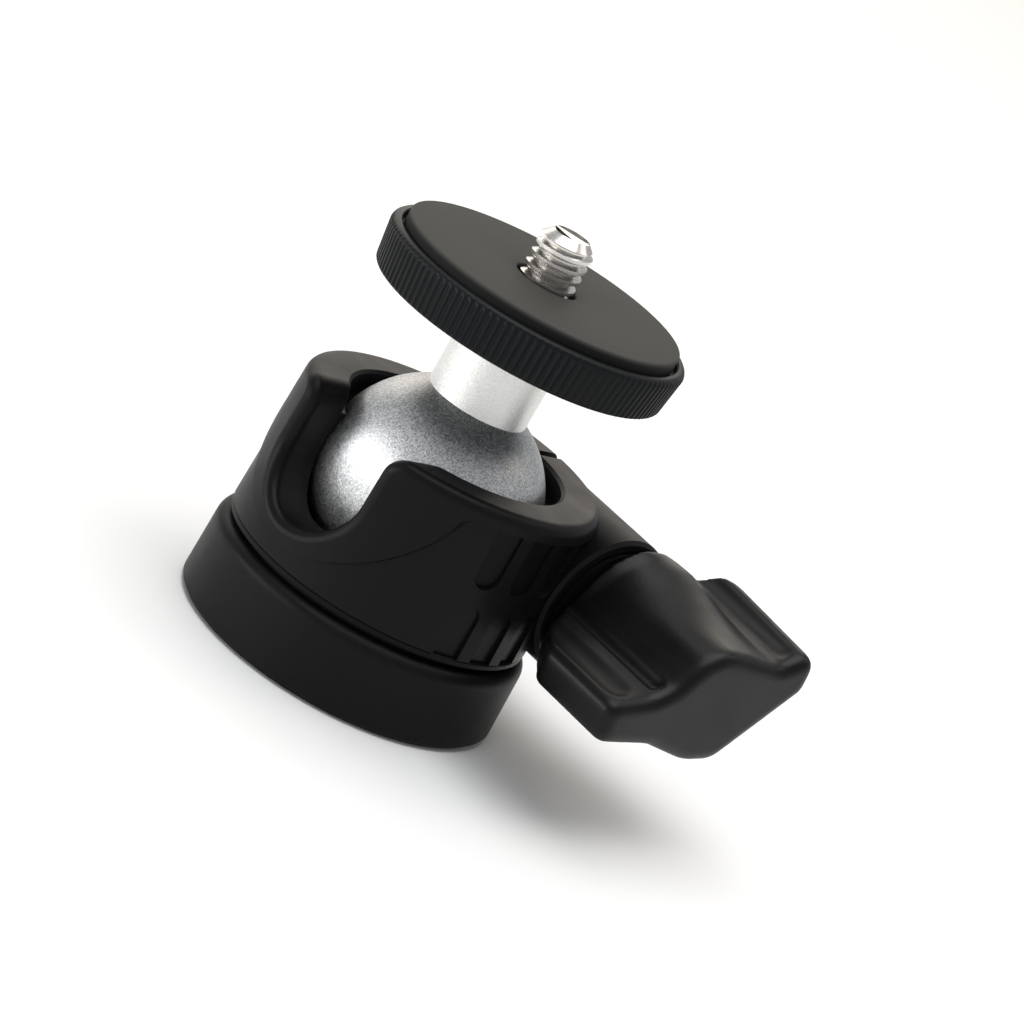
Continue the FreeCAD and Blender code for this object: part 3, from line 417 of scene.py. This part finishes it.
def thread_line(crest_radius, root_radius):
    """One pitch of a thread, from root to root."""
    flank = (1 - THREAD_CREST_SHARE - THREAD_ROOT_SHARE) / 2 * THREAD_PITCH
    crest = THREAD_CREST_SHARE * THREAD_PITCH
    return [
        (root_radius, 0, 0),
        (crest_radius, 0, flank),
        (crest_radius, 0, flank + crest),
        (root_radius, 0, 2 * flank + crest),
        (root_radius, 0, THREAD_PITCH),
    ]


def threaded_rod(name, low, high, crest_radius, root_radius):
    """Rod along Z whose whole surface is one right-handed thread, cut flat at both ends."""
    turns = math.ceil((high - low) / THREAD_PITCH) + THREAD_SPARE_TURNS
    piece = drawn_line(name, thread_line(crest_radius, root_radius))
    bpy.ops.mesh.select_all(action="SELECT")
    bpy.ops.transform.translate(value=(0, 0, low - THREAD_RUN_OUT))
    bpy.ops.object.mode_set(mode="OBJECT")
    apply_modifier(piece, "SCREW", angle=FULL_TURN, screw_offset=THREAD_PITCH, iterations=turns,
                   steps=THREAD_STEPS, render_steps=THREAD_STEPS, use_smooth_shade=False)
    bpy.ops.object.mode_set(mode="EDIT")
    merge_doubles()
    for height, side in ((low, -1), (high, 1)):
        bpy.ops.mesh.select_all(action="SELECT")
        bpy.ops.mesh.bisect(plane_co=(0, 0, height), plane_no=(0, 0, side), use_fill=True,
                            clear_outer=True)
    return close_up(piece)


def make_camera_screw():
    """Threaded rod with a chamfer at its tip, which is what it shares with a chamfered blank."""
    low, high = (end.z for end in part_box("camera_screw"))
    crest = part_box("camera_screw")[1].x
    piece = threaded_rod("camera_screw_thread", low, high, crest, crest - THREAD_DEPTH)
    blank = spun("screw_blank", [
        (0, low - MM), (crest + MM, low - MM), (crest + MM, high - SCREW_CHAMFER - MM),
        (crest - SCREW_CHAMFER, high), (0, high)], THREAD_STEPS)
    combine(piece, blank, "INTERSECT")
    smooth_by_angle(piece, SCREW_SHARP_ANGLE)
    stand_in(piece, "camera_screw", "platform", screw_stainless)


make_camera_screw()


# Camera platform: a disc with ribs moulded round its rim

RIB_COUNT = 124
RIB_COLUMNS = 4
GROOVE_COLUMNS = (2, 3)
GROOVE_DEPTH = 0.2 * MM
GROOVE_TOLERANCE = 0.001 * MM
PLATFORM_RIM_ROUND = 0.8 * MM
PLATFORM_FOOT_ROUND = 0.5 * MM
PLATFORM_TAPER = 0.5 * MM
RIM_WIDTH = 1.15 * MM
RIM_INNER_BREAK = 0.15 * MM
PLATFORM_WEB = 1.65 * MM
STEM_HOLE_RADIUS = 4.375 * MM
NUT_POCKET_RADIUS = 6.909 * MM
CORNER_STEPS = 5
DISC_SHARP_ANGLE = 35


def corner(centre_radius, centre_height, radius, start, stop):
    """Points of a rounded corner, angles in degrees from the outward direction."""
    turns = [math.radians(start + (stop - start) * step / CORNER_STEPS)
             for step in range(CORNER_STEPS + 1)]
    return [(centre_radius + radius * math.cos(turn), centre_height + radius * math.sin(turn))
            for turn in turns]


def press_grooves(piece, low, high, wide, narrow):
    """Sinks the columns between the ribs to one depth below the drafted side of the disc.

    The grooves run out in its rounded edges. Points at one height and radius move together.
    """
    columns = RIB_COUNT * RIB_COLUMNS
    slope = PLATFORM_TAPER / (high - PLATFORM_RIM_ROUND - low - PLATFORM_FOOT_ROUND)
    rings = {}
    for vertex in piece.data.vertices:
        spot = vertex.co
        radius = math.hypot(spot.x, spot.y)
        column = round(math.atan2(spot.y, spot.x) / FULL_TURN * columns) % RIB_COLUMNS
        side = min(wide, narrow + slope * (spot.z - low - PLATFORM_FOOT_ROUND))
        floor_radius = side - GROOVE_DEPTH
        if column in GROOVE_COLUMNS and radius > floor_radius + GROOVE_TOLERANCE:
            ring = round(spot.z / MM, 3), round(radius / MM, 3)
            rings.setdefault(ring, (floor_radius / radius, []))[1].append(vertex.index)
    for factor, indices in rings.values():
        bpy.ops.object.mode_set(mode="EDIT")
        bpy.ops.mesh.select_mode(type="VERT")
        bpy.ops.mesh.select_all(action="DESELECT")
        bpy.ops.object.mode_set(mode="OBJECT")
        for index in indices:
            piece.data.vertices[index].select = True
        bpy.ops.object.mode_set(mode="EDIT")
        bpy.ops.transform.resize(value=(factor, factor, 1), center_override=(0, 0, 0))
        bpy.ops.object.mode_set(mode="OBJECT")


def make_platform():
    """Disc with a sunk seat for the pad, a pocket for the lock nut and the stem's hole."""
    low, high = (end.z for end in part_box("platform"))
    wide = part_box("platform")[1].x
    narrow = wide - PLATFORM_TAPER
    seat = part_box("pad_film")[0].z
    inner = wide - RIM_WIDTH
    nut_floor = low + PLATFORM_WEB
    outline = (
        [(STEM_HOLE_RADIUS, low)]
        + corner(narrow - PLATFORM_FOOT_ROUND, low + PLATFORM_FOOT_ROUND,
                 PLATFORM_FOOT_ROUND, -90, 0)
        + corner(wide - PLATFORM_RIM_ROUND, high - PLATFORM_RIM_ROUND, PLATFORM_RIM_ROUND, 0, 90)
        + [(inner + RIM_INNER_BREAK, high), (inner, high - RIM_INNER_BREAK), (inner, seat),
           (NUT_POCKET_RADIUS, seat), (NUT_POCKET_RADIUS, nut_floor),
           (STEM_HOLE_RADIUS, nut_floor), (STEM_HOLE_RADIUS, low)])
    piece = spun("platform_ribbed", outline, RIB_COUNT * RIB_COLUMNS)
    press_grooves(piece, low, high, wide, narrow)
    smooth_by_angle(piece, DISC_SHARP_ANGLE)
    stand_in(piece, "platform", "platform", platform_nylon)


make_platform()


# Rubber pad, its hole closed in round the camera screw

PAD_HOLE_RADIUS = 3.55 * MM
PAD_EDGE_ROUND = 0.25 * MM
PAD_STEPS = 192


def make_pad():
    low, high = (end.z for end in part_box("platform_pad"))
    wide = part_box("platform_pad")[1].x
    round_height = high - PAD_EDGE_ROUND
    outline = (
        [(PAD_HOLE_RADIUS, low), (wide, low)]
        + corner(wide - PAD_EDGE_ROUND, round_height, PAD_EDGE_ROUND, 0, 90)
        + corner(PAD_HOLE_RADIUS + PAD_EDGE_ROUND, round_height, PAD_EDGE_ROUND, 90, 180)
        + [(PAD_HOLE_RADIUS, low)])
    piece = spun("pad_moulded", outline, PAD_STEPS)
    smooth_by_angle(piece, DISC_SHARP_ANGLE)
    stand_in(piece, "platform_pad", "platform", pad_rubber)


make_pad()


# Clamp knob: a winged grip moulded in one with its round hub, every edge softened.
# Its axis lies along X; reach is measured from the axis along Y and lift along Z

KNOB_AXIS_Y = 15.6 * MM
KNOB_AXIS_Z = 18.6 * MM
KNOB_NECK_START = 13.8 * MM
KNOB_NECK_RADIUS = 7.4 * MM
NECK_SHOULDER = 17.4 * MM
NECK_ROOT_RADIUS = 4.8 * MM
NECK_ROOT_END = 18.8 * MM
KNOB_HUB_START = 17.6 * MM
KNOB_END = 35.4 * MM
KNOB_END_ROUND = 1.4 * MM
KNOB_END_SEGMENTS = 5
KNOB_END_TOLERANCE = 0.01 * MM
RETAINER_RECESS_RADIUS = 5.4 * MM
RETAINER_RECESS_DEPTH = 0.8 * MM
HEAD_ACROSS_FLATS = 7.0 * MM
HEAD_POCKET_RADIUS = HEAD_ACROSS_FLATS / math.sqrt(3)
HEAD_POCKET_DEPTH = 3.6 * MM
HEAD_SIDES = 6
HUB_STEPS = 128
HUB_FRONT_STEPS = 16
HUB_FRONT_RADIUS = 20.0 * MM
HUB_OVERRUN = 2.0 * MM
KNOB_OVERRUN = 1.0 * MM
# Width of the even facets, before and after the grip is shaped, and how long they are relaxed
GRIP_SKIN = 0.3 * MM
KNOB_SKIN = 0.2 * MM
KNOB_RELAXING = 0.5
KNOB_RELAXING_ROUNDS = 14
KNOB_SHARP_ANGLE = 40
SECTION_STEP = math.radians(10)
SECTION_LEAST_STEPS = 3

# From here to the end of the knob's values, all lengths are in millimetres.
# Corners of the section: reach, lift and rounding
KNOB_SECTION = (
    (-14.8, -1.35, 1.5), (-8.2, 0.1, 6.0), (-5.7, 1.7, 4.0), (-2.5, 7.0, 6.0), (9.2, 5.8, 4.0),
    (14.2, 8.4, 1.8), (14.9, 3.3, 1.6), (6.4, -6.75, 3.2), (2.2, -7.25, 8.0), (-5.2, -5.7, 6.0),
    (-13.8, -6.15, 2.0))
# The hub fades into the section: place along X, then reach, lift and radius of its round.
# It starts as a drum under the housing's hood and lives on at the far side only, as the crown
HUB_ROUNDS = (
    (17.6, 2.2, 1.5, 7.1), (19.0, 3.1, 1.8, 6.7), (21.0, 3.6, 1.9, 6.5), (23.0, 3.7, 1.9, 6.1),
    (26.0, 3.5, 1.6, 5.7), (31.0, 3.2, 1.0, 5.0), (35.4, 3.0, 0.8, 4.0))
HUB_BLEND = 2.2
HUB_CLEAR_OF_END = 1.0
# Fronts of the wings: place along X and radius, about an axis set aside by the reach
WING_FRONT = (
    (17.6, 9.2), (18.2, 9.8), (19.2, 11.6), (20.0, 13.1), (21.0, 14.0), (22.5, 15.2),
    (24.0, 17.0), (26.0, 19.5), (35.4, 19.5))
WING_FRONT_REACH = 2.2
WING_BLEND = 1.2
# The far wing rises a little towards the hub, fully from its tip's reach outwards
FAR_WING_RISE = 0.055
FAR_WING_START = 8.0
FAR_WING_TIP = 13.0
# Lengthwise grooves: the corner their side starts at, share along that side, radius and depth
KNOB_GROOVES = (
    (0, 0.48, 4.0, 0.5), (1, 0.42, 1.5, 0.6), (4, 0.3, 3.4, 0.35),
    (6, 0.3, 1.5, 0.6), (6, 0.62, 1.5, 0.6), (9, 0.45, 4.0, 0.45))
GROOVE_MARGIN = 1.6
# A point belongs to a side of the section when it lies this near to it
GROOVE_SIDE_LIMIT = 0.5
# Points of the end face this near to the axis stay where they are
AXIS_CLEARANCE = 1


def rounded_section(corners):
    """Points all round the section, each corner turned by its own radius."""
    line = []
    for number, (reach, lift, radius) in enumerate(corners):
        spot = Vector((reach, lift))
        before = (Vector(corners[number - 1][:2]) - spot).normalized()
        after = (Vector(corners[(number + 1) % len(corners)][:2]) - spot).normalized()
        half = before.angle(after) / 2
        centre = spot + (before + after).normalized() * (radius / math.sin(half))
        start = spot + before * (radius / math.tan(half)) - centre
        stop = spot + after * (radius / math.tan(half)) - centre
        first = math.atan2(start.y, start.x)
        sweep = (math.atan2(stop.y, stop.x) - first + math.pi) % FULL_TURN - math.pi
        steps = max(SECTION_LEAST_STEPS, math.ceil(abs(sweep) / SECTION_STEP))
        for step in range(steps + 1):
            turn = first + sweep * step / steps
            line.append((centre.x + radius * math.cos(turn), centre.y + radius * math.sin(turn)))
    return line


def turned_along_x(name, spots, steps):
    """Solid of revolution about the knob's axis, through (along, radius) spots."""
    piece = drawn_line(name, [(along, 0, radius) for along, radius in spots])
    bpy.ops.mesh.select_all(action="SELECT")
    bpy.ops.mesh.spin(steps=steps, angle=FULL_TURN, center=(0, 0, 0), axis=(1, 0, 0))
    bpy.ops.mesh.select_all(action="SELECT")
    bpy.ops.transform.translate(value=(0, KNOB_AXIS_Y, KNOB_AXIS_Z))
    return close_up(piece)


def select_end_edges(piece, start):
    """Selects, in edit mode, the edges that lie wholly past a place along X."""
    bpy.ops.mesh.select_mode(type="EDGE")
    bpy.ops.mesh.select_all(action="DESELECT")
    bpy.ops.object.mode_set(mode="OBJECT")
    spots = piece.data.vertices
    for edge in piece.data.edges:
        edge.select = all(spots[index].co.x > start for index in edge.vertices)
    bpy.ops.object.mode_set(mode="EDIT")


def between(rows, along):
    """Row of values at a place along X, mixed from the rows before and after it."""
    for row, next_row in zip(rows, rows[1:]):
        if along <= next_row[0]:
            share = max(0.0, (along - row[0]) / (next_row[0] - row[0]))
            return [value + (next_value - value) * share
                    for value, next_value in zip(row[1:], next_row[1:])]
    return rows[-1][1:]


def soft_max(one, other, blend):
    """The larger of two radii, rounded where they come nearer to each other than the blend."""
    near = max(0.0, 1 - abs(one - other) / blend)
    return max(one, other) + blend * near * near / 4


def reach_of_round(way, reach, lift, radius):
    """How far a round set beside the axis reaches in one direction from the axis."""
    aside = Vector((reach, lift))
    ahead = aside.dot(way)
    return ahead + math.sqrt(max(0.0, radius ** 2 - aside.length_squared + ahead ** 2))


def groove_sink(spot, along):
    """How deep and which way the lengthwise grooves sink one point of the section."""
    for corner_number, share, radius, depth in KNOB_GROOVES:
        start = Vector(KNOB_SECTION[corner_number][:2])
        run = Vector(KNOB_SECTION[corner_number + 1][:2]) - start
        outward = Vector((-run.y, run.x)).normalized()
        offset = spot - start - run * share
        half_width = math.sqrt(radius ** 2 - (radius - depth) ** 2)
        end = KNOB_END / MM - GROOVE_MARGIN - half_width
        apart = Vector((offset.dot(run.normalized()), max(0.0, along - end))).length
        if abs(offset.dot(outward)) < GROOVE_SIDE_LIMIT and apart < radius:
            return outward * -max(0.0, math.sqrt(radius ** 2 - apart ** 2) - radius + depth)
    return Vector((0, 0))


def shape_grip(piece):
    """Moves the straight prism's points: grooves in, wing fronts trimmed, hub swelled out of it."""
    for vertex in piece.data.vertices:
        along = vertex.co.x / MM
        spot = Vector((vertex.co.y - KNOB_AXIS_Y, vertex.co.z - KNOB_AXIS_Z)) / MM
        if spot.length < AXIS_CLEARANCE:
            continue
        spot += groove_sink(spot, along)
        wing_share = (spot.x - FAR_WING_START) / (FAR_WING_TIP - FAR_WING_START)
        wing_share = min(1.0, max(0.0, wing_share))
        spot.y += FAR_WING_RISE * wing_share * (KNOB_END / MM - along)
        way = spot.normalized()
        front, = between(WING_FRONT, along)
        front = reach_of_round(way, WING_FRONT_REACH, 0, front)
        # Turned negative, the larger radius is the smaller one: the front trims the wing
        radius = -soft_max(-spot.length, -front, WING_BLEND)
        if along < KNOB_END / MM - HUB_CLEAR_OF_END:
            hub = reach_of_round(way, *between(HUB_ROUNDS, along))
            radius = soft_max(radius, hub, HUB_BLEND)
        vertex.co.y = KNOB_AXIS_Y + way.x * radius * MM
        vertex.co.z = KNOB_AXIS_Z + way.y * radius * MM


def make_grip():
    """Wings, crown and hub: one section pulled out along X, its end rounded, its points shaped."""
    section = [(KNOB_HUB_START - HUB_OVERRUN, KNOB_AXIS_Y + reach * MM, KNOB_AXIS_Z + lift * MM)
               for reach, lift in rounded_section(KNOB_SECTION)]
    piece = drawn_line("knob_shaped", section)
    merge_doubles()
    bpy.ops.mesh.edge_face_add()
    bpy.ops.mesh.extrude_region_move(
        TRANSFORM_OT_translate={"value": (KNOB_END - KNOB_HUB_START + HUB_OVERRUN, 0, 0)})
    close_up(piece)
    bpy.ops.object.mode_set(mode="EDIT")
    select_end_edges(piece, KNOB_END - KNOB_END_TOLERANCE)
    bpy.ops.mesh.bevel(offset=KNOB_END_ROUND, segments=KNOB_END_SEGMENTS, affect="EDGES")
    close_up(piece)
    apply_modifier(piece, "REMESH", mode="VOXEL", voxel_size=GRIP_SKIN)
    shape_grip(piece)
    # Small even facets close up the shaped skin before and after its front is cut flat
    apply_modifier(piece, "REMESH", mode="VOXEL", voxel_size=KNOB_SKIN)
    combine(piece, turned_along_x("hub_front", [
        (KNOB_HUB_START, 0), (KNOB_HUB_START, HUB_FRONT_RADIUS),
        (KNOB_END + KNOB_OVERRUN, HUB_FRONT_RADIUS), (KNOB_END + KNOB_OVERRUN, 0)],
        HUB_FRONT_STEPS), "INTERSECT")
    apply_modifier(piece, "REMESH", mode="VOXEL", voxel_size=KNOB_SKIN)
    return piece


def make_knob():
    """The grip with its round neck, hollowed for the retainer ring and for the screw's head."""
    piece = make_grip()
    # Relaxed facets melt the joints between the forms as the mould's radii do
    apply_modifier(piece, "SMOOTH", factor=KNOB_RELAXING, iterations=KNOB_RELAXING_ROUNDS)
    combine(piece, turned_along_x("knob_neck", [
        (KNOB_NECK_START, 0), (KNOB_NECK_START, KNOB_NECK_RADIUS),
        (NECK_SHOULDER, KNOB_NECK_RADIUS), (NECK_SHOULDER, NECK_ROOT_RADIUS),
        (NECK_ROOT_END, NECK_ROOT_RADIUS), (NECK_ROOT_END, 0)], HUB_STEPS), "UNION")
    recess_floor = KNOB_NECK_START + RETAINER_RECESS_DEPTH
    combine(piece, turned_along_x("retainer_recess", [
        (KNOB_NECK_START - KNOB_OVERRUN, 0),
        (KNOB_NECK_START - KNOB_OVERRUN, RETAINER_RECESS_RADIUS),
        (recess_floor, RETAINER_RECESS_RADIUS), (recess_floor, 0)], HUB_STEPS), "DIFFERENCE")
    pocket_floor = KNOB_NECK_START + HEAD_POCKET_DEPTH
    combine(piece, turned_along_x("head_pocket", [
        (KNOB_NECK_START, 0), (KNOB_NECK_START, HEAD_POCKET_RADIUS),
        (pocket_floor, HEAD_POCKET_RADIUS), (pocket_floor, 0)], HEAD_SIDES), "DIFFERENCE")
    smooth_by_angle(piece, KNOB_SHARP_ANGLE)
    stand_in(piece, "knob", "knob", knob_nylon)


make_knob()


# Studio: pale floor, one large softbox at the left, weaker ones above, behind and at the right,
# and a gentle surround

FLOOR_SIZE = 6
FLOOR_DROP = 0.2 * MM
LIGHT_TARGET = Vector((0.0, 0.0, 25 * MM))
SURROUND_COLOUR = "#f2f4f7"
SURROUND_BRIGHTNESS = 0.5
# Name, direction as (right, up, back) of the camera, distance, width and height in metres,
# power in watts, tint
SOFTBOXES = (
    ("left_softbox", (-0.92, 0.0, 0.28), 0.9, 1.0, 1.3, 25, "#ffffff"),
    ("right_softbox", (0.9, 0.42, -0.1), 0.9, 0.25, 0.35, 0.5, "#ffeeda"),
    ("top_softbox", (0.47, 0.83, 0.29), 1.0, 0.9, 0.9, 8, "#ffffff"),
    ("back_softbox", (0.1, 0.7, -0.7), 1.1, 1.1, 0.7, 3, "#fff4e4"))


def add_floor():
    bpy.ops.object.select_all(action="DESELECT")
    bpy.ops.mesh.primitive_plane_add(size=FLOOR_SIZE, location=(0, 0, -FLOOR_DROP))
    floor = bpy.context.object
    floor.name = "studio_floor"
    floor.data.materials.append(floor_material())


def add_softbox(name, direction, distance, width, height, power, tint):
    """Area light aimed at the head."""
    right, up, back = direction
    way = (camera_right * right + camera_up * up + camera_back * back).normalized()
    data = bpy.data.lights.new(name, "AREA")
    data.shape = "RECTANGLE"
    data.size = width
    data.size_y = height
    data.energy = power
    data.color = linear(tint)[:3]
    light = bpy.data.objects.new(name, data)
    light.location = LIGHT_TARGET + way * distance
    light.rotation_euler = (-way).to_track_quat("-Z", "Y").to_euler()
    bpy.context.scene.collection.objects.link(light)


def set_surround(colour, brightness):
    world = bpy.data.worlds.new("studio_surround")
    world.use_nodes = True
    tree = world.node_tree
    tree.nodes.clear()
    glow = add_node(tree, "ShaderNodeBackground",
                    {"Color": linear(colour), "Strength": brightness})
    add_node(tree, "ShaderNodeOutputWorld", None, {"Surface": glow.outputs[0]})
    bpy.context.scene.world = world


add_floor()
for softbox in SOFTBOXES:
    add_softbox(*softbox)
set_surround(SURROUND_COLOUR, SURROUND_BRIGHTNESS)
bpy.context.scene.view_settings.view_transform = "Standard"
